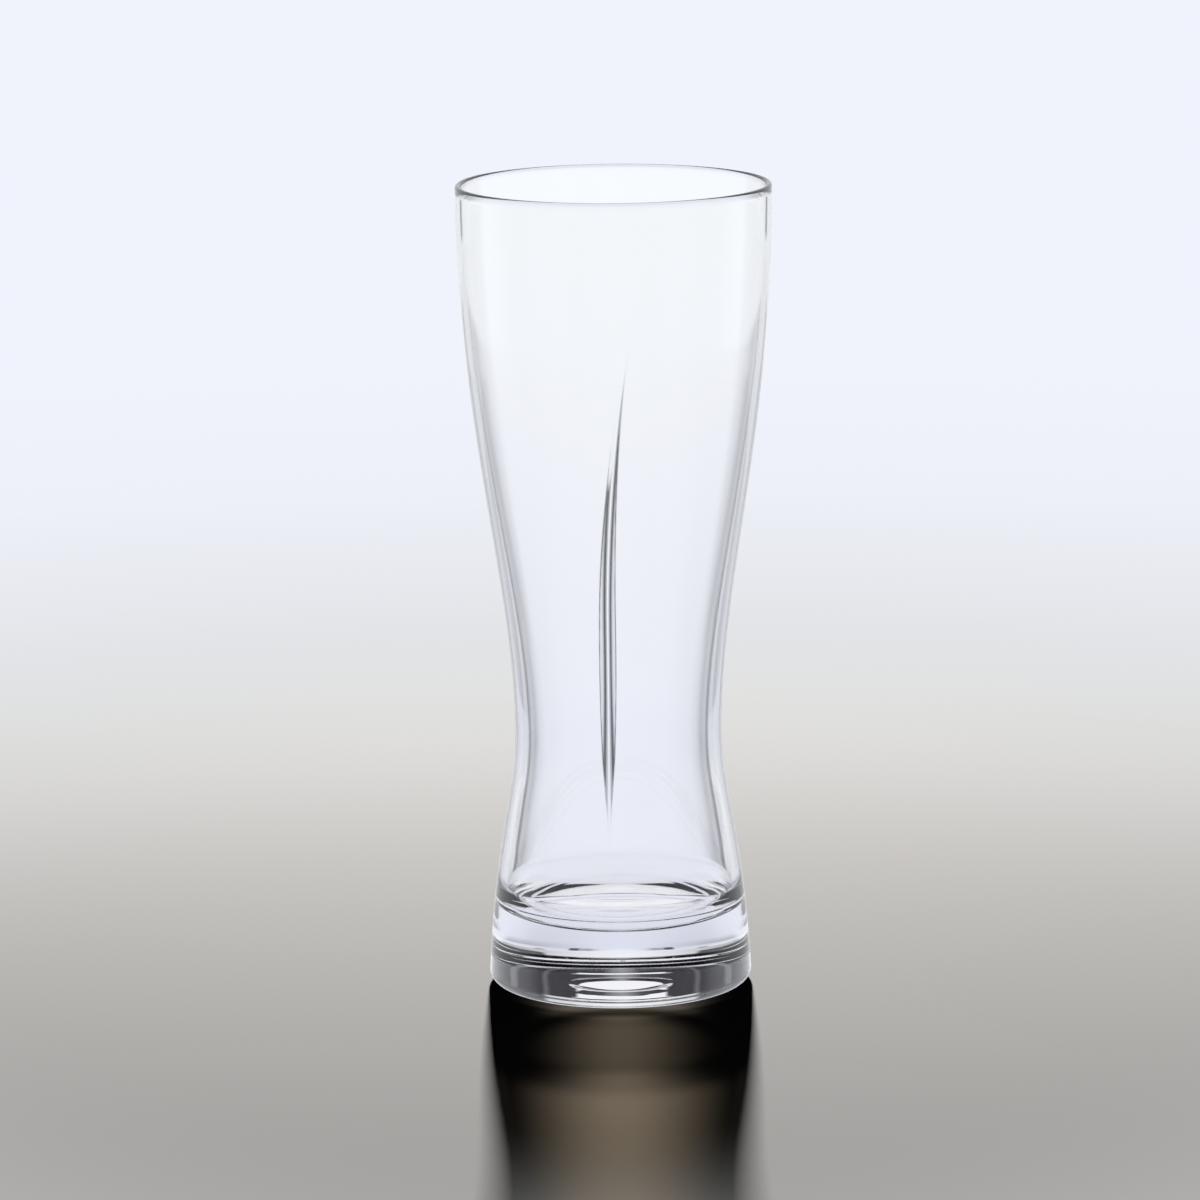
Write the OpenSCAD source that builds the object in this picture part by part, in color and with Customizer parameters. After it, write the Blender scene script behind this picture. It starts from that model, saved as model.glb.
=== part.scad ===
// A slender waisted beer glass: a thin blown bowl on a heavy solid base, with
// one long flute cut into the front of the wall. Millimetres, +Z up. The origin
// is on the table, under the middle of the glass, and the flute faces -Y.

/* [Bowl] */
// Height of the whole glass, from the table to the top of the rim
height = 180; // [160:1:200]
// Outside radius of the rim
rim_r = 34.9; // [32:0.1:38]
// Outside radius of the waist, the narrowest place
waist_r = 23.1; // [20:0.1:26]
// Height of the waist above the table
waist_h = 57.4; // [50:0.2:64]
// Thickness of the blown wall at the rim
wall = 1.3; // [1.1:0.05:1.8]

/* [Base] */
// Outside radius of the base, measured down at the table
base_r = 29.5; // [28:0.1:32]
// Height at which the bowl stands on the base and the cup starts to round in
seat_h = 23; // [21:0.5:26]
// Thickness of the wall at that seat
seat_wall = 2.3; // [1.9:0.1:3.5]
// Height at which the wall starts to thicken on its way down to the seat
thicken_h = 140; // [120:1:160]
// Height of the middle of the cup's floor above the table
floor_h = 14.5; // [11:0.5:17]
// Radius of the rounded edge round the foot
edge_r = 2.8; // [1.5:0.1:4]
// Width of the flat ring that the glass stands on
ring_w = 3.2; // [2:0.2:6]
// Height of the shallow hollow inside that ring
hollow_h = 0.35; // [0.2:0.05:1]
// Radius of the round flat spot in the middle of that hollow
spot_r = 6; // [4:0.2:9]
// Width of the soft step round that spot
spot_edge_w = 2; // [1:0.1:4]
// Height of the spot above the table
spot_h = 0.1; // [0.05:0.05:0.2]

/* [Flute] */
// Height at which the flute begins, above the base
flute_low_h = 26.5; // [26:0.5:36]
// Height of its deepest and widest place
flute_deep_h = 79; // [70:1:88]
// Height at which it fades out, below the rim
flute_top_h = 158; // [140:1:162]
// Depth at the deepest place
flute_depth = 0.83; // [0.4:0.01:0.9]
// Steepness of its two sides where they meet the wall, in degrees
flute_flank = 29.2; // [24:0.2:34]
// Radius of its rounded bottom at the deepest place
flute_r = 0.8; // [0.5:0.05:1.5]
// Distance of its lower half from the middle of the front, towards -X
flute_side = 2.2; // [0:0.1:4]
// How far its top sweeps across to +X
flute_sweep = 6.6; // [0:0.1:8]
// Height at which that sweep starts
flute_sweep_h = 86; // [80:1:100]

/* [Hidden] */
$fn = 120;
glass_colour = [0.86, 0.88, 0.95, 0.6];

// How far the side curves run straight on at their ends, as shares of their heights
waist_up_share = 0.28;
rim_down_share = 0.452;
waist_down_share = 0.275;
base_up_share = 0.621;
// Inward lean of the base's side at the table, a share of the height climbed
base_lean_share = 0.049;
// Pull of the rounded cup corner: down the wall and out along the floor
corner_drop_share = 0.78;
corner_reach_share = 0.82;
// Change of the radius of the flute's bottom: tighter at the top end, wider at the low end
flute_narrow_share = 0.75;
flute_widen_share = 8;

bowl_steps = 36;
base_steps = 8;
corner_steps = 14;
lip_steps = 8;
edge_steps = 6;
spot_steps = 6;
flute_sides = 10;
// Height to which the cutter's edge lifts off the wall at both ends of the flute
flute_lift = 0.06;
// How far the cutter's sides run on past the outside of the wall, and how far out it ends
flute_over = 0.1;
flute_out = 2;

// The outside of the wall: two curves of radius and height, joined at the waist
upper_side = [
    [waist_r, waist_h],
    [waist_r, waist_h + waist_up_share * (height - waist_h)],
    [rim_r, height - rim_down_share * (height - waist_h)],
    [rim_r, height],
];
lower_side = [
    [base_r, 0],
    [base_r - base_lean_share * base_up_share * waist_h, base_up_share * waist_h],
    [waist_r, waist_h - waist_down_share * waist_h],
    [waist_r, waist_h],
];

// Point of a cubic curve at share t of its way from the first of its four points
function curve(p, t) =
    pow(1 - t, 3) * p[0] + 3 * t * pow(1 - t, 2) * p[1] + 3 * t * t * (1 - t) * p[2] + pow(t, 3) * p[3];

// Share of the way at which a rising curve passes height z, found by halving
function share_at(p, z, low = 0, high = 1, halvings = 30) =
    let (middle = (low + high) / 2)
    halvings == 0 ? middle
    : curve(p, middle)[1] < z ? share_at(p, z, middle, high, halvings - 1)
    : share_at(p, z, low, middle, halvings - 1);

// Outside radius of the glass at height z
function outer_at(z) =
    let (side = z > waist_h ? upper_side : lower_side)
    curve(side, share_at(side, z))[0];

// Thickness of the wall at height z: even at the top, then slowly thicker down to the seat
function wall_at(z) = wall + (seat_wall - wall) * max(0, thicken_h - z) / (thicken_h - seat_h);

// Inside radius of the cup at height z
function inner_at(z) = outer_at(z) - wall_at(z);

// Evenly spread heights from low to high, both included
function heights(low, high, steps) = [for (i = [0:steps]) low + (high - low) * i / steps];

// The cup below the seat: one curve down the wall, round the corner and in to the middle
seat_in_r = inner_at(seat_h);
cup_floor = [
    [seat_in_r, seat_h],
    [seat_in_r, seat_h - corner_drop_share * (seat_h - floor_h)],
    [corner_reach_share * seat_in_r, floor_h],
    [0, floor_h],
];

// The underside: a flat spot, a soft step up from it and a slope out to the ring on the table
edge_centre_r = outer_at(edge_r) - edge_r;
ring_in_r = edge_centre_r - ring_w;
underside = [
    [0, spot_h],
    for (i = [0:spot_steps])
        let (step = i / spot_steps)
        [spot_r + spot_edge_w * step, spot_h + (hollow_h - spot_h) * pow(sin(90 * step), 2)],
];

// Levels of the wall's outline, from the seat up to the middle of the rounded lip
lip_r = wall / 2;
lip_h = height - lip_r;
side = heights(seat_h, lip_h, bowl_steps);

// Share of the way from the flute's deepest place to its low or its top end, at height z
function flute_way(z) =
    (z - flute_deep_h) / ((z > flute_deep_h ? flute_top_h : flute_low_h) - flute_deep_h);

// Depth of the flute at height z: full at its deepest place, and lifted off at both ends
function flute_depth_at(z) =
    (flute_depth + flute_lift) * pow(1 - pow(flute_way(z), 2), 2) - flute_lift;

// How much its rounded bottom at height z takes off the sharp meeting of its two sides
function flute_round_at(z) =
    flute_r * pow(tan(flute_flank), 2) * (
        z > flute_deep_h
        ? 1 - flute_narrow_share * pow(flute_way(z), 2)
        : 1 + flute_widen_share * pow(flute_way(z), 8)
    );

// Sideways place of the flute at height z: straight below, sweeping over above
function flute_x_at(z) =
    flute_sweep * pow(max(0, z - flute_sweep_h) / (flute_top_h - flute_sweep_h), 2) - flute_side;

// Point at height z, at a distance out from the axis and an angle from the front
function around(out, angle, z) = [out * sin(angle), -out * cos(angle), z];

// One level slice of the flute's cutter: its rounded V, closed by two points out in the air
function flute_slice(z) =
    let (
        outer = outer_at(z),
        turn = asin(flute_x_at(z) / outer),
        round_off = flute_round_at(z),
        sunk = flute_depth_at(z) + round_off,
        reach = sqrt(pow(sunk + flute_over, 2) - pow(round_off, 2)) / tan(flute_flank),
        half = reach / outer * 180 / PI
    )
    [
        for (i = [0:flute_sides])
            let (
                share = 2 * i / flute_sides - 1,
                rise = norm([share * reach * tan(flute_flank), round_off])
            )
            around(outer - sunk + rise, turn + share * half, z),
        around(outer + flute_out, turn + half, z),
        around(outer + flute_out, turn - half, z),
    ];

// The cutter: slices halfway between the wall's own levels and at both ends, joined by a
// skin of triangles
module flute_cutter() {
    halfway = [for (i = [1:bowl_steps]) (side[i - 1] + side[i]) / 2];
    between = [for (z = halfway) if (z > flute_low_h && z < flute_top_h) z];
    levels = concat(flute_low_h, between, flute_top_h);
    last = len(levels) - 1;
    per_slice = flute_sides + 3;
    polyhedron(
        points = [for (z = levels) each flute_slice(z)],
        faces = [
            [for (i = [0:per_slice - 1]) i],
            for (k = [0:last - 1], i = [0:per_slice - 1])
                let (
                    low_a = k * per_slice + i,
                    low_b = k * per_slice + (i + 1) % per_slice
                )
                each [
                    [low_a, low_a + per_slice, low_b],
                    [low_b, low_a + per_slice, low_b + per_slice],
                ],
            [for (i = [per_slice - 1:-1:0]) last * per_slice + i],
        ]
    );
}

// The blown wall, open at both ends, with its rounded lip and the flute
module bowl() {
    color(glass_colour)
        difference() {
            rotate_extrude()
                polygon([
                    for (z = side) [outer_at(z), z],
                    for (i = [1:lip_steps - 1])
                        let (a = 180 * i / lip_steps)
                        [outer_at(lip_h) - lip_r + lip_r * cos(a), lip_h + lip_r * sin(a)],
                    for (i = [bowl_steps:-1:0]) [inner_at(side[i]), side[i]],
                ]);
            flute_cutter();
        }
}

// The solid foot: rounded edge, ring and hollow underneath, and the floor of the cup on top
module base() {
    color(glass_colour)
        rotate_extrude()
            polygon([
                each underside,
                [ring_in_r, 0],
                for (i = [0:edge_steps - 1])
                    let (a = 90 * i / edge_steps - 90)
                    [edge_centre_r + edge_r * cos(a), edge_r + edge_r * sin(a)],
                for (z = heights(edge_r, seat_h, base_steps)) [outer_at(z), z],
                for (i = [0:corner_steps]) curve(cup_floor, i / corner_steps),
            ]);
}

bowl();
base();
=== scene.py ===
# %% [markdown]
# # A waisted beer glass
# The real object is one piece of clear glass: a thin blown wall that narrows to a waist,
# a heavy solid base, and one long flute cut into the front of the wall. The CAD frame
# holds it as two nodes, the bowl and the base. Light would bend at the seam between two
# meshes, so here one closed skin of glass is turned, as on a lathe, and stands for both.

# %% Load the frame
import math

import bpy
from mathutils import Euler, Matrix, Vector


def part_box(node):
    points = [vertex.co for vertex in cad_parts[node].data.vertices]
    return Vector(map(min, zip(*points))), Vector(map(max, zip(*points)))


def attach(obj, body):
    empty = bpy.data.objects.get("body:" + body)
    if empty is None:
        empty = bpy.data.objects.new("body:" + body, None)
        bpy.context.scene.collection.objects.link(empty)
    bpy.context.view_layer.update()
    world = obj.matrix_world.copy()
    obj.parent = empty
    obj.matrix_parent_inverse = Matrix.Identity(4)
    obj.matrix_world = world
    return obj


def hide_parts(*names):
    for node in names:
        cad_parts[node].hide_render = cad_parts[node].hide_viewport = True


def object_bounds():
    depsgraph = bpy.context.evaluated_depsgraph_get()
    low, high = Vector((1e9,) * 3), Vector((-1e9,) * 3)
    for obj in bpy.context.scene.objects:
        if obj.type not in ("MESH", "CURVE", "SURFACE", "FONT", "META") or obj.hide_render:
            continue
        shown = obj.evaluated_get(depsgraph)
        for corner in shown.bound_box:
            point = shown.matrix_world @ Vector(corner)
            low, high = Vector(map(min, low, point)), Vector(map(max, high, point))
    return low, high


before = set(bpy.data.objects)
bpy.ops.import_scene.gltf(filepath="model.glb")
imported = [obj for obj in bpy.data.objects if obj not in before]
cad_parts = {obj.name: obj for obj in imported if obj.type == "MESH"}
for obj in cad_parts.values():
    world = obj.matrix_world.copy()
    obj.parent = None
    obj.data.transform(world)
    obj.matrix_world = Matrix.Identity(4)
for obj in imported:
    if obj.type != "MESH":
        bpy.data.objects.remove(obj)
cad_low, cad_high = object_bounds()
bowl_high, base_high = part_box("bowl")[1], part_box("base")[1]
print("CAD box in mm:", [round(1000 * v, 1) for v in cad_high - cad_low])

# %% [markdown]
# All sizes are written in millimetres, as on a drawing, and turned to metres by one value.
# The height, the rim and the seat between bowl and base are read from the CAD frame, so
# the skin of glass can't drift away from the solids that it stands for.

# %% Sizes of the glass
MM = 0.001
HEIGHT = cad_high.z
RIM_R = bowl_high.x
SEAT_H = base_high.z
WAIST_R, WAIST_H = 23.1 * MM, 57.4 * MM
BASE_R = 29.5 * MM
WALL, SEAT_WALL, THICKEN_H = 1.3 * MM, 2.3 * MM, 140 * MM
FLOOR_H = 14.5 * MM
EDGE_R, RING_W, HOLLOW_H = 2.8 * MM, 3.2 * MM, 0.35 * MM
SPOT_R, SPOT_EDGE_W, SPOT_H = 6 * MM, 2 * MM, 0.1 * MM
print(f"height {HEIGHT / MM:.1f}, rim radius {RIM_R / MM:.2f}, seat at {SEAT_H / MM:.1f} mm")

# %% [markdown]
# The camera comes first, because everything is judged through it. The rim of the glass
# shows as an ellipse that gives 7 degrees of slope, and the foot one of 14 degrees, so
# the camera stands close and a little above the rim. The horizon of the photograph leans
# by half a degree, which is the roll.

# %% Camera
CAMERA_AWAY, CAMERA_H = 1371.7 * MM, 354.7 * MM
CAMERA_PITCH, CAMERA_YAW, CAMERA_ROLL = 11.055, 0.16, 0.575
CAMERA_LENS = 188.4

camera = bpy.data.objects.new("camera", bpy.data.cameras.new("camera"))
camera.data.lens = CAMERA_LENS
bpy.context.scene.collection.objects.link(camera)
aim = Euler((math.radians(90 - CAMERA_PITCH), 0, math.radians(CAMERA_YAW))).to_matrix()
roll = Matrix.Rotation(math.radians(-CAMERA_ROLL), 3, "Z")
camera.matrix_world = Matrix.Translation((0, -CAMERA_AWAY, CAMERA_H)) @ (aim @ roll).to_4x4()
bpy.context.scene.camera = camera
print("camera at", [round(v, 3) for v in camera.location])

# %% [markdown]
# A few small helpers. An operator acts on everything that is selected, so a piece is
# always started with nothing else selected.

# %% Helpers for modelling
def only(thing):
    """Selects one object and nothing else, and makes it the active one."""
    bpy.ops.object.select_all(action="DESELECT")
    thing.select_set(True)
    bpy.context.view_layer.objects.active = thing


def apply_modifier(thing, kind, name, **settings):
    """Adds a modifier with its settings and applies it at once."""
    modifier = thing.modifiers.new(name, kind)
    for key, value in settings.items():
        setattr(modifier, key, value)
    only(thing)
    bpy.ops.object.modifier_apply(modifier=name)


# %% [markdown]
# The outline of the glass is a curve of radius and height. Two cubic curves make the
# outside, from the foot up to the waist and from the waist up to the rim. The inside
# follows it at the thickness of the wall, which grows slowly on its way down. The floor of
# the cup is one more such curve, and the lip and the foot's edge are round. Underneath, the
# glass is hollowed by a third of a millimetre, with a flat spot in the middle that nearly
# touches the table: seen from above through the thick base it is the bright ellipse.

# %% Curves of the outline
# How far the side curves run straight on at their ends, as shares of their heights
WAIST_UP, RIM_DOWN = 0.28, 0.452
WAIST_DOWN, BASE_UP = 0.275, 0.621
# Inward lean of the base's side at the table, as a share of the height climbed
BASE_LEAN = 0.049

UPPER_SIDE = [
    (WAIST_R, WAIST_H),
    (WAIST_R, WAIST_H + WAIST_UP * (HEIGHT - WAIST_H)),
    (RIM_R, HEIGHT - RIM_DOWN * (HEIGHT - WAIST_H)),
    (RIM_R, HEIGHT),
]
LOWER_SIDE = [
    (BASE_R, 0),
    (BASE_R - BASE_LEAN * BASE_UP * WAIST_H, BASE_UP * WAIST_H),
    (WAIST_R, WAIST_H - WAIST_DOWN * WAIST_H),
    (WAIST_R, WAIST_H),
]


def on_curve(points, share):
    """The point at a share of the way along a cubic curve of four control points."""
    left = 1 - share
    weights = (left**3, 3 * share * left**2, 3 * share**2 * left, share**3)
    return tuple(sum(w * p[i] for w, p in zip(weights, points)) for i in (0, 1))


print("the two outer curves meet at", round(WAIST_H / HEIGHT, 3), "of the height")


# %% Radii of the wall
HALVINGS = 40


def outer_at(z):
    """Outside radius of the glass at height z, found by halving along the curve."""
    points = UPPER_SIDE if z > WAIST_H else LOWER_SIDE
    low, high = 0.0, 1.0
    for _ in range(HALVINGS):
        middle = (low + high) / 2
        if on_curve(points, middle)[1] < z:
            low = middle
        else:
            high = middle
    return on_curve(points, low)[0]


def inner_at(z):
    """Inside radius of the cup at height z: the wall thickens on its way down to the seat."""
    thickening = max(0, THICKEN_H - z) / (THICKEN_H - SEAT_H)
    return outer_at(z) - WALL - (SEAT_WALL - WALL) * thickening


print(f"radii at the seat: {outer_at(SEAT_H) / MM:.2f} and {inner_at(SEAT_H) / MM:.2f} mm")


# %% Points along the outline
def spread(low, high, steps):
    """Evenly spread values from low to high, both included."""
    return [low + (high - low) * i / steps for i in range(steps + 1)]


def arc(centre_r, centre_h, radius, start, end, steps):
    """Points of an arc between two angles in degrees, as radius and height."""
    angles = [math.radians(a) for a in spread(start, end, steps)]
    return [(centre_r + radius * math.cos(a), centre_h + radius * math.sin(a)) for a in angles]


# %% Outline of the glass
# Pull of the rounded corner of the cup: down the wall and out along the floor
CORNER_DROP, CORNER_REACH = 0.78, 0.82
SPOT_STEPS, SPOT_EDGE_STEPS, HOLLOW_STEPS, RING_STEPS = 4, 10, 24, 4
EDGE_STEPS, SIDE_STEPS, LIP_STEPS, INSIDE_STEPS, CUP_STEPS = 10, 170, 12, 90, 44
LIP_R = WALL / 2
edge_centre_r = outer_at(EDGE_R) - EDGE_R
ring_in_r = edge_centre_r - RING_W
seat_in_r = inner_at(SEAT_H)
spot_out_r = SPOT_R + SPOT_EDGE_W


def underside_at(r):
    """Height of the underside: a flat spot, a step up from it, and a slope out to the ring."""
    if r < spot_out_r:
        step = max(0, r - SPOT_R) / SPOT_EDGE_W
        return SPOT_H + (HOLLOW_H - SPOT_H) * math.sin(math.pi / 2 * step) ** 2
    return HOLLOW_H * (ring_in_r - r) / (ring_in_r - spot_out_r)


cup_floor = [
    (seat_in_r, SEAT_H),
    (seat_in_r, SEAT_H - CORNER_DROP * (SEAT_H - FLOOR_H)),
    (CORNER_REACH * seat_in_r, FLOOR_H),
    (0, FLOOR_H),
]

under = spread(0, SPOT_R, SPOT_STEPS) + spread(SPOT_R, spot_out_r, SPOT_EDGE_STEPS)[1:]
under += spread(spot_out_r, ring_in_r, HOLLOW_STEPS)[1:]
outline = [(r, underside_at(r)) for r in under]
outline += [(r, 0) for r in spread(ring_in_r, edge_centre_r, RING_STEPS)[1:-1]]
outline += arc(edge_centre_r, EDGE_R, EDGE_R, -90, 0, EDGE_STEPS)
outline += [(outer_at(z), z) for z in spread(EDGE_R, HEIGHT - LIP_R, SIDE_STEPS)[1:]]
outline += arc(RIM_R - LIP_R, HEIGHT - LIP_R, LIP_R, 0, 180, LIP_STEPS)[1:]
outline += [(inner_at(z), z) for z in spread(HEIGHT - LIP_R, SEAT_H, INSIDE_STEPS)[1:]]
outline += [on_curve(cup_floor, share) for share in spread(0, 1, CUP_STEPS)[1:]]
print(len(outline), "points in the outline")

# %% [markdown]
# The outline is drawn as a chain of points: one vertex, extruded again and again. Then
# the chain is spun round the axis. The flute is narrow, so the spin has two parts: fine
# steps across the front of the glass, where the flute will be, and coarser ones all the
# way round the rest. A spin turns clockwise, seen from above, so it starts at the right
# end of the fine part.

# %% Turn the outline
# The direction of the front, half the angle of the fine part, and the steps of both parts
FRONT, FRONT_HALF = -90, 14
FRONT_STEPS, REST_STEPS = 84, 116
SAME_POINT = 0.002 * MM

start = math.radians(FRONT + FRONT_HALF)
ways = [Vector((r * math.cos(start), r * math.sin(start), z)) for r, z in outline]
bpy.ops.object.select_all(action="DESELECT")
bpy.ops.mesh.primitive_plane_add(size=1 * MM, location=ways[0])
glass = bpy.context.object
glass.name = glass.data.name = "glass"
bpy.ops.object.transform_apply(location=True, rotation=True, scale=True)
bpy.ops.object.mode_set(mode="EDIT")
bpy.ops.mesh.select_all(action="SELECT")
bpy.ops.mesh.merge(type="CENTER")
for here, there in zip(ways, ways[1:]):
    bpy.ops.mesh.extrude_region_move(TRANSFORM_OT_translate={"value": there - here})
bpy.ops.mesh.select_all(action="SELECT")
for steps, degrees in ((FRONT_STEPS, 2 * FRONT_HALF), (REST_STEPS, 360 - 2 * FRONT_HALF)):
    bpy.ops.mesh.spin(
        steps=steps, angle=math.radians(degrees), center=(0, 0, 0), axis=(0, 0, 1)
    )
bpy.ops.mesh.select_all(action="SELECT")
bpy.ops.mesh.remove_doubles(threshold=SAME_POINT)
bpy.ops.mesh.normals_make_consistent(inside=False)
bpy.ops.object.mode_set(mode="OBJECT")
bpy.ops.object.shade_smooth()
print(len(glass.data.vertices), "vertices,", len(glass.data.polygons), "faces")

# %% [markdown]
# The flute is ground into the wall by the edge of a wheel, so its section is a V with a
# rounded bottom. It is deepest near the middle of its length and draws to a point at the
# top. Below the waist the depth eases off and the bottom widens, so that end runs out soft.
# The lower half runs straight, and the upper half sweeps to the right. Each vertex of the
# outside gets its share of the full depth as a weight, and a Displace modifier sinks the
# wall by those weights.

# %% Cut the flute
FLUTE_LOW, FLUTE_DEEP, FLUTE_TOP = 26.5 * MM, 79 * MM, 158 * MM
FLUTE_DEPTH, FLUTE_R = 0.83 * MM, 0.8 * MM
FLUTE_FLANK = math.tan(math.radians(29.2))
# How much wider its bottom gets to the low end, and narrower to the top end
FLUTE_WIDEN, FLUTE_NARROW = 1.7, 0.75
# Heights between which the depth eases off to a share of itself
RUN_OUT_LOW, RUN_OUT_HIGH, RUN_OUT_SHARE = 38 * MM, 57 * MM, 0.28
# Place of the lower half to the left of the middle, and the sweep of the upper half
FLUTE_SIDE, FLUTE_SWEEP, FLUTE_SWEEP_H = 2.2 * MM, 6.6 * MM, 86 * MM
# Softness of its edges, and the distance from the middle that holds all of it
FLUTE_SOFT, FLUTE_SPAN = 0.01 * MM, 5.5 * MM


def flute_depth(x, z):
    """How deep the flute is at a point of the outside of the wall."""
    end = FLUTE_TOP if z > FLUTE_DEEP else FLUTE_LOW
    along = (z - FLUTE_DEEP) / (end - FLUTE_DEEP)
    if along >= 1:
        return 0
    sweep = max(0, (z - FLUTE_SWEEP_H) / (FLUTE_TOP - FLUTE_SWEEP_H)) ** 2
    across = x - FLUTE_SWEEP * sweep + FLUTE_SIDE
    round_off = FLUTE_R * FLUTE_FLANK**2
    round_off *= 1 - FLUTE_NARROW * along**2 if z > FLUTE_DEEP else 1 + FLUTE_WIDEN * along**2
    fade = min(1, max(0, (z - RUN_OUT_LOW) / (RUN_OUT_HIGH - RUN_OUT_LOW)))
    fade = RUN_OUT_SHARE + (1 - RUN_OUT_SHARE) * fade**2 * (3 - 2 * fade)
    sunk = FLUTE_DEPTH * (1 - along**2) ** 2 * fade
    sunk -= math.hypot(FLUTE_FLANK * across, round_off) - round_off
    return (sunk + math.sqrt(sunk**2 + FLUTE_SOFT**2)) / 2


flute = glass.vertex_groups.new(name="flute")
for vertex in glass.data.vertices:
    x, y, z = vertex.co
    if y > 0 or abs(x) > FLUTE_SPAN or not FLUTE_LOW < z < FLUTE_TOP:
        continue
    if math.hypot(x, y) > outer_at(z) - WALL / 2:
        flute.add([vertex.index], flute_depth(x, z) / FLUTE_DEPTH, "REPLACE")
apply_modifier(
    glass, "DISPLACE", "flute", vertex_group="flute", strength=-FLUTE_DEPTH, mid_level=0
)
print("flute cut over", round((FLUTE_TOP - FLUTE_LOW) / MM), "mm")

# %% [markdown]
# The underside was pressed in a mould, and it is not quite even. A ripple of a few
# thousandths of a millimetre, seen through the thick base, breaks its dark band into
# streaks. It fades out towards the flat spot and before the ring that the glass stands on.

# %% Ripple of the underside
RIPPLE_FROM, RIPPLE_TO, RIPPLE_FADE = 9.5 * MM, 23.5 * MM, 2 * MM
UNDER_RIPPLE, UNDER_SCALE = 0.005 * MM, 3.5 * MM
UNDER_TOP = 1 * MM

ripple = glass.vertex_groups.new(name="ripple")
for vertex in glass.data.vertices:
    r = math.hypot(vertex.co.x, vertex.co.y)
    if vertex.co.z < UNDER_TOP and RIPPLE_FROM < r < RIPPLE_TO:
        from_end = min(r - RIPPLE_FROM, RIPPLE_TO - r)
        ripple.add([vertex.index], min(1, from_end / RIPPLE_FADE), "REPLACE")
unevenness = bpy.data.textures.new("unevenness", "CLOUDS")
unevenness.noise_scale = UNDER_SCALE
unevenness.noise_depth = 1
apply_modifier(
    glass, "DISPLACE", "ripple", vertex_group="ripple", texture=unevenness, texture_coords="LOCAL",
    direction="Z", strength=2 * UNDER_RIPPLE, mid_level=0.5,
)
lowest = min(vertex.co.z for vertex in glass.data.vertices)
print("lowest point of the underside:", round(lowest / MM, 3), "mm")

# %% [markdown]
# Materials. Colours are written as the eye sees them, in sRGB hex, and one function
# turns them to the linear values that a shader needs. One more function adds a node with
# all that belongs to it, so a material reads as a list of its nodes.

# %% Helpers for materials
SOFT = {"interpolation_type": "SMOOTHSTEP"}


def linear(hex_colour, alpha=1.0):
    """An sRGB hex colour as a linear RGBA value."""
    parts = [int(hex_colour[i : i + 2], 16) / 255 for i in (1, 3, 5)]
    parts = [c / 12.92 if c <= 0.04045 else ((c + 0.055) / 1.055) ** 2.4 for c in parts]
    return (*parts, alpha)


def node(tree, kind, settings=None, stops=(), **inputs):
    """Adds a node with its settings, the stops of its ramp, and its values and links.

    An input goes by its name, with _ for a space, or by its number after a _. A stop is a
    place and an sRGB hex colour or a plain level. A node links by its first output.
    """
    made = tree.nodes.new(kind)
    for key, value in (settings or {}).items():
        setattr(made, key, value)
    for k, (place, shade) in enumerate(stops):
        elements = made.color_ramp.elements
        if k == 0:
            elements.remove(elements[-1])
        element = elements[0] if k == 0 else elements.new(place)
        element.position = place
        element.color = linear(shade) if isinstance(shade, str) else (shade, shade, shade, 1)
    for name, value in inputs.items():
        numbered = name[1:].isdigit()
        socket = made.inputs[int(name[1:]) if numbered else name.replace("_", " ")]
        if isinstance(value, bpy.types.Node):
            value = value.outputs[0]
        if isinstance(value, bpy.types.NodeSocket):
            tree.links.new(value, socket)
        else:
            socket.default_value = value
    return made


def new_material(name):
    """An empty node material and the tree to fill."""
    made = bpy.data.materials.new(name)
    made.use_nodes = True
    made.node_tree.nodes.clear()
    return made, made.node_tree


# %% [markdown]
# Soda-lime glass, machine-blown and fire-polished: the flame leaves a skin smoother than
# any grinding, so it is clear and mirror-bright, with an IOR of 1.52. The melt is not
# perfectly even, and the wall carries a faint long wave, which shows most in reflections.
# A trace of manganese, which hides the green of iron, leaves a cool lavender tint where
# the glass is thick, so the tint is an absorption in the depth and not a surface colour.

# %% Soda-lime glass
# Length of the wave round the wall and what share that is of its length up the wall, then
# its height and its strength
WAVE_LENGTH, WAVE_ALONG = 26 * MM, 0.35
WAVE_HEIGHT, WAVE_STRENGTH = 0.4 * MM, 0.05


def soda_lime_glass():
    made, tree = new_material("soda_lime_glass_fire_polished")
    place = node(tree, "ShaderNodeTexCoord").outputs["Object"]
    stretch = node(tree, "ShaderNodeMapping", Vector=place, Scale=(1, 1, WAVE_ALONG))
    wave = node(tree, "ShaderNodeTexNoise", Vector=stretch, Scale=1 / WAVE_LENGTH, Detail=1.0)
    bump = node(
        tree, "ShaderNodeBump", Height=wave.outputs["Fac"],
        Strength=WAVE_STRENGTH, Distance=WAVE_HEIGHT,
    )
    skin = node(
        tree, "ShaderNodeBsdfPrincipled", Base_Color=linear("#FFFFFF"), Roughness=0.0,
        IOR=1.52, Transmission_Weight=1.0, Normal=bump,
    )
    depth = node(tree, "ShaderNodeVolumeAbsorption", Color=linear("#C9CCEA"), Density=3.0)
    node(tree, "ShaderNodeOutputMaterial", Surface=skin, Volume=depth)
    return made


glass.data.materials.append(soda_lime_glass())
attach(glass, "root")
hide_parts("bowl", "base")
print(glass.name, "is made of", glass.data.materials[0].name)

# %% [markdown]
# The stage is a plain pale floor. Close to the glass it is matt and takes its light from
# one lamp behind the object, as in the photograph, so it darkens towards the camera and
# keeps the shadow. Further off it turns into plain light, in tones that lead over to the
# backdrop. The glass looks past the floor to the surround, which stands in for it there.

# %% Floor
FLOOR_RADIUS, FLOOR_DROP = 3000 * MM, 0.1 * MM
# The floor is matt up to the first distance, and plain light from the second one on
MATT_END, GLOW_START = 120 * MM, 420 * MM
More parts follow.
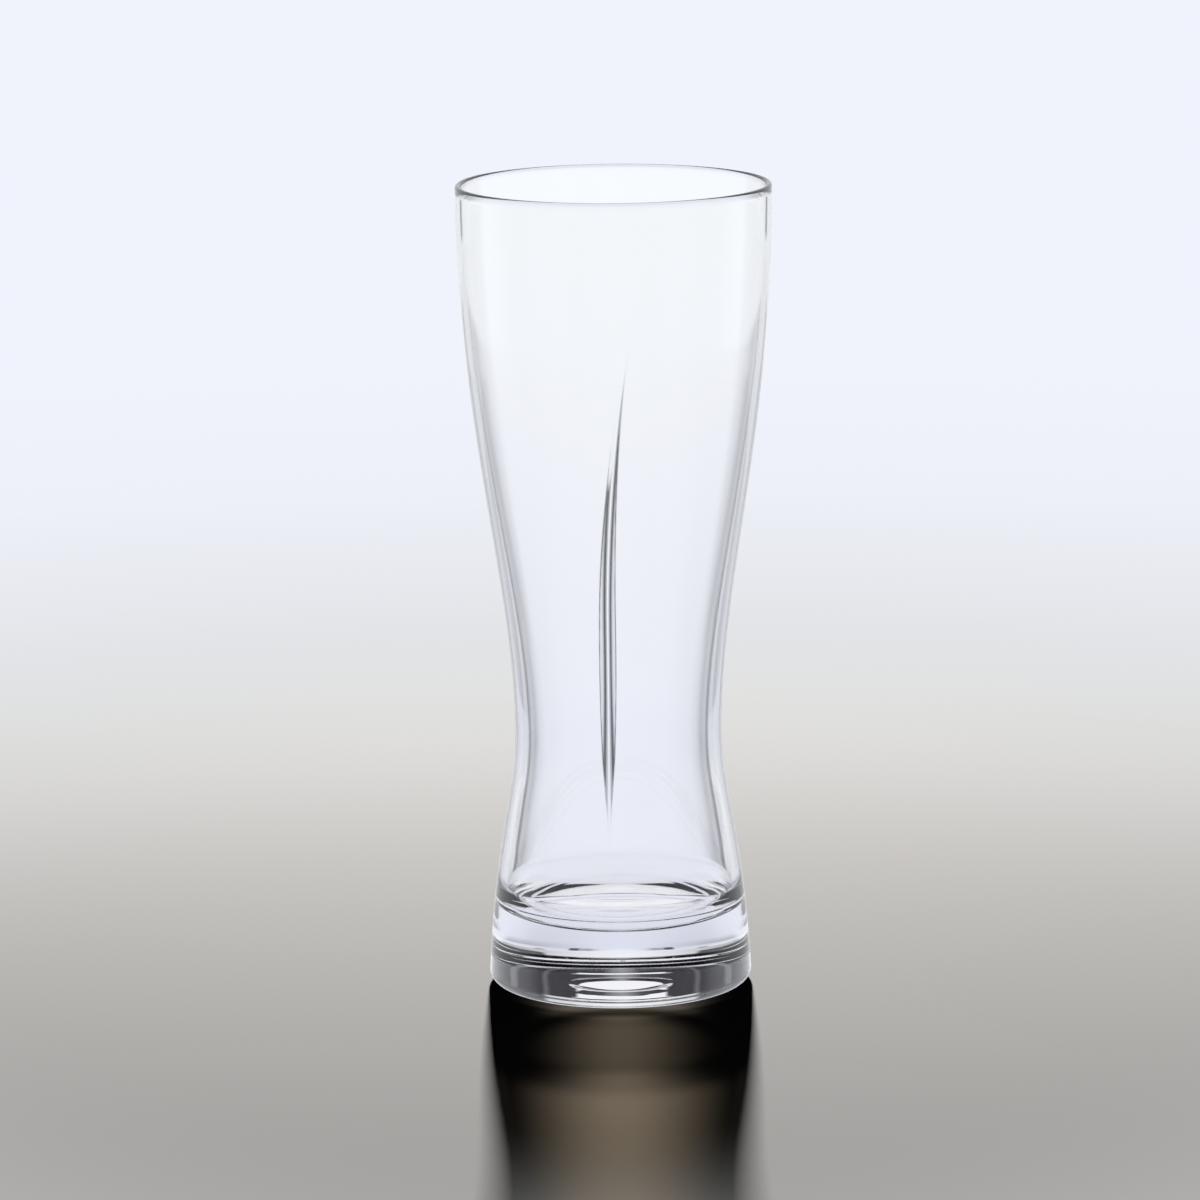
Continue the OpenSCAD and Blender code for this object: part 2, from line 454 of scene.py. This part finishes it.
# Painted light: beyond the matt part the floor glows, and its greyer tones near the glass are
# painted shade
# The tones of that light, over the share of the distance at which they end
FADE_END = 900 * MM
FADE = [(0, "#D4D5D5"), (0.33, "#DADCDC"), (0.5, "#E6E7EC"), (0.7, "#EDF0F8"), (1, "#F0F3FC")]


def pale_floor():
    made, tree = new_material("pale_floor")
    place = node(tree, "ShaderNodeTexCoord").outputs["Object"]
    away = node(tree, "ShaderNodeVectorMath", {"operation": "LENGTH"}, _0=place).outputs["Value"]
    matt = node(tree, "ShaderNodeBsdfDiffuse", Color=linear("#D8D5D2"))
    share = node(tree, "ShaderNodeMapRange", Value=away, From_Max=FADE_END)
    shade = node(tree, "ShaderNodeValToRGB", stops=FADE, Fac=share)
    glow = node(tree, "ShaderNodeEmission", Color=shade, Strength=1.0)
    far = node(tree, "ShaderNodeMapRange", SOFT, Value=away, From_Min=MATT_END, From_Max=GLOW_START)
    both = node(tree, "ShaderNodeMixShader", Fac=far, _1=matt, _2=glow)
    node(tree, "ShaderNodeOutputMaterial", Surface=both)
    return made


bpy.ops.object.select_all(action="DESELECT")
bpy.ops.mesh.primitive_circle_add(
    vertices=128, radius=FLOOR_RADIUS, fill_type="NGON", location=(0, 0, -FLOOR_DROP)
)
floor = bpy.context.object
floor.name = "studio_floor"
floor.visible_transmission = floor.visible_glossy = False
floor.data.materials.append(pale_floor())
print("floor", 2 * FLOOR_RADIUS, "m across")

# %% [markdown]
# A renderer that follows light only from the eye gives clear glass a black shadow, because
# it can't find the light that the glass bends. So the glass itself throws no shadow here,
# and a copy of it on the stage throws it, which nothing but the lamp meets. It lets light
# through by how squarely the light meets each wall, so the middle of the shadow is light
# and its sides are dark. The heavy base works as a lens and lets less through. What comes
# through is a little warmer than the lamp, as the photograph shows.

# %% Shadow of the glass
# The more power, the darker the sides: that of the base and of the wall, and the heights
# between which the one turns into the other
LENS_POWER, WALL_POWER = 9.0, 1.4
LENS_TOP, WALL_LOW = SEAT_H - 6 * MM, SEAT_H + 2 * MM
# What level glass lets through, and how level a face is where that begins and is reached
LEVEL_SHARE, LEVEL_FROM, LEVEL_TO = 0.7, 0.5, 0.8


def light_through():
    made, tree = new_material("light_through_glass")
    place = node(tree, "ShaderNodeTexCoord").outputs["Object"]
    height = node(tree, "ShaderNodeSeparateXYZ", Vector=place).outputs["Z"]
    power = node(
        tree, "ShaderNodeMapRange", Value=height, From_Min=LENS_TOP, From_Max=WALL_LOW,
        To_Min=LENS_POWER, To_Max=WALL_POWER,
    )
    aslant = node(tree, "ShaderNodeLayerWeight", Blend=0.5).outputs["Facing"]
    straight = node(tree, "ShaderNodeMath", {"operation": "SUBTRACT"}, _0=1.0, _1=aslant)
    squarely = node(tree, "ShaderNodeMath", {"operation": "POWER"}, _0=straight, _1=power)
    normal = node(tree, "ShaderNodeNewGeometry").outputs["Normal"]
    upward = node(tree, "ShaderNodeSeparateXYZ", Vector=normal).outputs["Z"]
    level = node(tree, "ShaderNodeMath", {"operation": "ABSOLUTE"}, _0=upward)
    share = node(
        tree, "ShaderNodeMapRange", SOFT, Value=level, From_Min=LEVEL_FROM, From_Max=LEVEL_TO,
        To_Min=squarely, To_Max=LEVEL_SHARE,
    )
    stopped = node(tree, "ShaderNodeBsdfTransparent", Color=linear("#000000"))
    passed = node(tree, "ShaderNodeBsdfTransparent", Color=linear("#F1ECE4"))
    both = node(tree, "ShaderNodeMixShader", Fac=share, _1=stopped, _2=passed)
    node(tree, "ShaderNodeOutputMaterial", Surface=both)
    return made


shadow = bpy.data.objects.new("glass_shadow", glass.data.copy())
bpy.context.scene.collection.objects.link(shadow)
shadow.data.materials.clear()
shadow.data.materials.append(light_through())
shadow.visible_camera = shadow.visible_diffuse = False
shadow.visible_glossy = shadow.visible_transmission = False
glass.visible_shadow = False
print("the shadow comes from", len(shadow.data.polygons), "faces")

# %% [markdown]
# Clear glass has no look of its own: it shows what stands behind it, bent. So most of the
# picture is made here. The room is pale, and dark cloths hang at the back of it, as is
# done in a studio to draw the lines of a glass. They show only through the glass: the
# camera, the reflections and the floor meet a plain pale room.
#
# The line of sight is a direction, and its slope and turn come from it by arithmetic. Each
# cloth has its place by that slope and by the turn to either side of the middle of the
# back. Below the horizon the light falls off to both sides, and two upright strips darken
# the flanks of the flute. Two wings and a thin line shade the walls and the corner of the
# cup. High up hangs a dark ring with a slot of light in its middle, and the thick base
# bends both into view, as its dark band and the bright ellipse in it.

# %% Line of sight
# The turn of the middle of the back, in degrees as all angles here
MIDDLE = 90.3

bpy.context.scene.view_settings.view_transform = "Standard"
world = bpy.data.worlds.new("studio")
bpy.context.scene.world = world
world.use_nodes = True
tree = world.node_tree
tree.nodes.clear()

look = node(tree, "ShaderNodeTexCoord").outputs["Generated"]
split = node(tree, "ShaderNodeSeparateXYZ", Vector=look)
x, y, z = (split.outputs[name] for name in "XYZ")
slope = node(tree, "ShaderNodeMath", {"operation": "ARCSINE"}, _0=z)
slope = node(tree, "ShaderNodeMath", {"operation": "DEGREES"}, _0=slope)
turn = node(tree, "ShaderNodeMath", {"operation": "ARCTAN2"}, _0=y, _1=x)
turn = node(tree, "ShaderNodeMath", {"operation": "DEGREES"}, _0=turn)
aside = node(tree, "ShaderNodeMath", {"operation": "SUBTRACT"}, _0=turn, _1=MIDDLE)
aside = node(tree, "ShaderNodeMath", {"operation": "ABSOLUTE"}, _0=aside)
back = (math.cos(math.radians(MIDDLE)), math.sin(math.radians(MIDDLE)), 0)
backward = node(tree, "ShaderNodeVectorMath", {"operation": "DOT_PRODUCT"}, _0=look, _1=back)
backward = backward.outputs["Value"]
print("middle of the back:", [round(v, 3) for v in back])


# %% Helpers for the surround
def by_angle(tree, angle, stops, low, high):
    """What a ramp gives at an angle, from stops between a low and a high angle."""
    share = node(tree, "ShaderNodeMapRange", Value=angle, From_Min=low, From_Max=high)
    placed = [((at - low) / (high - low), shade) for at, shade in stops]
    return node(tree, "ShaderNodeValToRGB", stops=placed, Fac=share)


def hang(tree, angle, start, end, soft, around, cloth):
    """Hangs a cloth between two angles, with soft edges, over what is around it."""
    opened = node(
        tree, "ShaderNodeMapRange", SOFT, Value=angle, From_Min=start - soft,
        From_Max=start + soft, To_Min=around, To_Max=cloth,
    )
    return node(
        tree, "ShaderNodeMapRange", SOFT, Value=angle, From_Min=end - soft,
        From_Max=end + soft, To_Min=opened, To_Max=around,
    )


# %% [markdown]
# One cloth after the other is hung over what is there already. A list gives the share of
# the light that a cloth lets through, by the turn from the middle of the back. Its slopes
# are those between which it hangs, with the softness of its edges. A small patch has its
# slopes, its turns and one share.

# %% Cloths below the horizon
SPAN = 60
FALL_OFF = [(0, 1), (8, 0.95), (15, 0.83), (25, 0.67), (36, 0.52), (52, 0.45), (60, 1)]
FALL_OFF_FROM, FALL_OFF_FULL = -22, -16
STRIPS = [
    (0, 1), (3, 0.98), (6, 0.9), (8, 0.72), (10, 0.42), (12, 0.48), (13, 0.42), (13.8, 0.08),
    (16, 0.08), (17.2, 0.8), (52, 0.82), (60, 1),
]
STRIPS_SLOPES = (-14.8, -9.1, 0.25)
STRIPS_TOP = [(0, 1), (10, 0.97), (20, 0.88), (52, 0.88), (60, 1)]
STRIPS_TOP_SLOPES = (-9.1, -7, 0.25)
LINE = ((-8.5, -7.2, 0.15), (26, 31, 1), 0.03)
WINGS = ((1, 20, 0.5), (26, 75, 2), 0.05)

low = node(
    tree, "ShaderNodeMapRange", SOFT, Value=slope, From_Min=FALL_OFF_FROM,
    From_Max=FALL_OFF_FULL, To_Min=1.0, To_Max=by_angle(tree, aside, FALL_OFF, 0, SPAN),
)
low = hang(tree, slope, *STRIPS_SLOPES, low, by_angle(tree, aside, STRIPS, 0, SPAN))
low = hang(tree, slope, *STRIPS_TOP_SLOPES, low, by_angle(tree, aside, STRIPS_TOP, 0, SPAN))
for slopes, turns, share in (LINE, WINGS):
    low = hang(tree, slope, *slopes, low, hang(tree, aside, *turns, low, share))
print(len(tree.nodes), "nodes so far")

# %% Ring with its slot
RING = [
    (0, 0.3), (3, 0.2), (6, 0.04), (12, 0.01), (24, 0.01), (26, 0.12), (28, 0.01), (34, 0.04),
    (41, 0.02), (44, 0.16), (47, 0.16), (49, 0.02), (60, 0.03),
]
RING_FROM, RING_FULL = 11.6, 12.1
# The slot is a little wider below a step in its middle: the turns over which each part ends
SLOT_SLOPES = (14.1, 17.3, 0.1)
SLOT_STEP_FROM, SLOT_STEP_TO = 14.85, 15.05
SLOT_ENDS = ((15, 16.5), (13, 15))

ring = by_angle(tree, aside, RING, 0, SPAN)
wide, narrow = (
    node(
        tree, "ShaderNodeMapRange", SOFT, Value=aside, From_Min=first, From_Max=last,
        To_Min=1.0, To_Max=ring,
    )
    for first, last in SLOT_ENDS
)
slot = node(
    tree, "ShaderNodeMapRange", SOFT, Value=slope, From_Min=SLOT_STEP_FROM,
    From_Max=SLOT_STEP_TO, To_Min=wide, To_Max=narrow,
)
high = hang(tree, slope, *SLOT_SLOPES, ring, slot)
level = node(
    tree, "ShaderNodeMapRange", SOFT, Value=slope, From_Min=RING_FROM, From_Max=RING_FULL,
    To_Min=low, To_Max=high,
)
print(len(tree.nodes), "nodes hang all the cloths")

# %% [markdown]
# All the cloths end beside the object, so the half of the room on the camera's side is
# plain. The light that they let through has the colour of the pale room at each slope: a
# cool grey low down, and white from the horizon up.

# %% Light that passes the cloths
CLOTH = "#17161D"
BY_SLOPE = [
    (-90, "#E6E8F3"), (-30, "#E6E8F3"), (-18, "#E8EAF6"), (-14, "#EEF0FB"), (-12, "#F2F4FE"),
    (-9, "#F8FBFF"), (12, "#FFFFFF"), (90, "#FFFFFF"),
]
# How far back the line of sight points where the cloths begin, and where they are full
BACK_FROM, BACK_FULL = -0.05, 0.2

let_through = node(
    tree, "ShaderNodeMapRange", SOFT, Value=backward, From_Min=BACK_FROM, From_Max=BACK_FULL,
    To_Min=1.0, To_Max=level,
)
cloths = node(
    tree, "ShaderNodeMix", {"data_type": "RGBA"}, _0=let_through, _6=linear(CLOTH),
    _7=by_angle(tree, slope, BY_SLOPE, -90, 90),
).outputs[2]
print(len(tree.nodes), "nodes make the surround")

# %% [markdown]
# Each kind of ray meets its own room. Light that the glass has bent meets the cloths.
# Mirrored light meets a plain room that is darker on the camera's side, where the studio
# is unlit. Light that the floor scatters meets next to none, so that the shadow stays
# deep, and the camera meets the pale backdrop.

# %% Rays
# Strength of the room on the camera's side, the turn from there to the back, and the
# strength that the floor meets
FRONT_LEVEL, FRONT_TO, BACK_AT = 0.1, -0.3, 0.3
AMBIENT = 0.002

strength = node(
    tree, "ShaderNodeMapRange", SOFT, Value=backward, From_Min=FRONT_TO, From_Max=BACK_AT,
    To_Min=FRONT_LEVEL, To_Max=1.0,
)
through = node(tree, "ShaderNodeBackground", Color=cloths, Strength=1.0)
mirrored = node(tree, "ShaderNodeBackground", Color=linear("#FAFCFF"), Strength=strength)
ambient = node(tree, "ShaderNodeBackground", Color=linear("#F0F3FC"), Strength=AMBIENT)
backdrop = node(tree, "ShaderNodeBackground", Color=linear("#F0F3FC"), Strength=1.0)
ray = node(tree, "ShaderNodeLightPath").outputs
scattered = node(
    tree, "ShaderNodeMath", {"operation": "GREATER_THAN"}, _0=ray["Diffuse Depth"], _1=0.5
)
met = ambient
for share, other in (
    (ray["Is Glossy Ray"], mirrored),
    (ray["Is Transmission Ray"], through),
    (scattered, ambient),
    (ray["Is Camera Ray"], backdrop),
):
    met = node(tree, "ShaderNodeMixShader", Fac=share, _1=met, _2=other)
node(tree, "ShaderNodeOutputWorld", Surface=met)
print(len(tree.nodes), "nodes in the world")

# %% [markdown]
# One small softbox stands behind the glass, twenty degrees above the table, so the shadow
# falls long towards the camera, and its edges are sharp at the foot and softer further
# out. Neither the camera nor the glass shows the lamp itself.

# %% Lamp
LAMP_SIZE, LAMP_WATTS = 70 * MM, 51
LAMP_AT = (0, 1500 * MM, 545 * MM)

lamp = bpy.data.objects.new("back_softbox", bpy.data.lights.new("back_softbox", "AREA"))
lamp.data.shape = "SQUARE"
lamp.data.size = LAMP_SIZE
lamp.data.energy = LAMP_WATTS
lamp.location = LAMP_AT
lamp.rotation_euler = lamp.location.to_track_quat("Z", "Y").to_euler()
lamp.visible_camera = lamp.visible_transmission = lamp.visible_glossy = False
bpy.context.scene.collection.objects.link(lamp)
print("lamp at", [round(v, 2) for v in lamp.location])
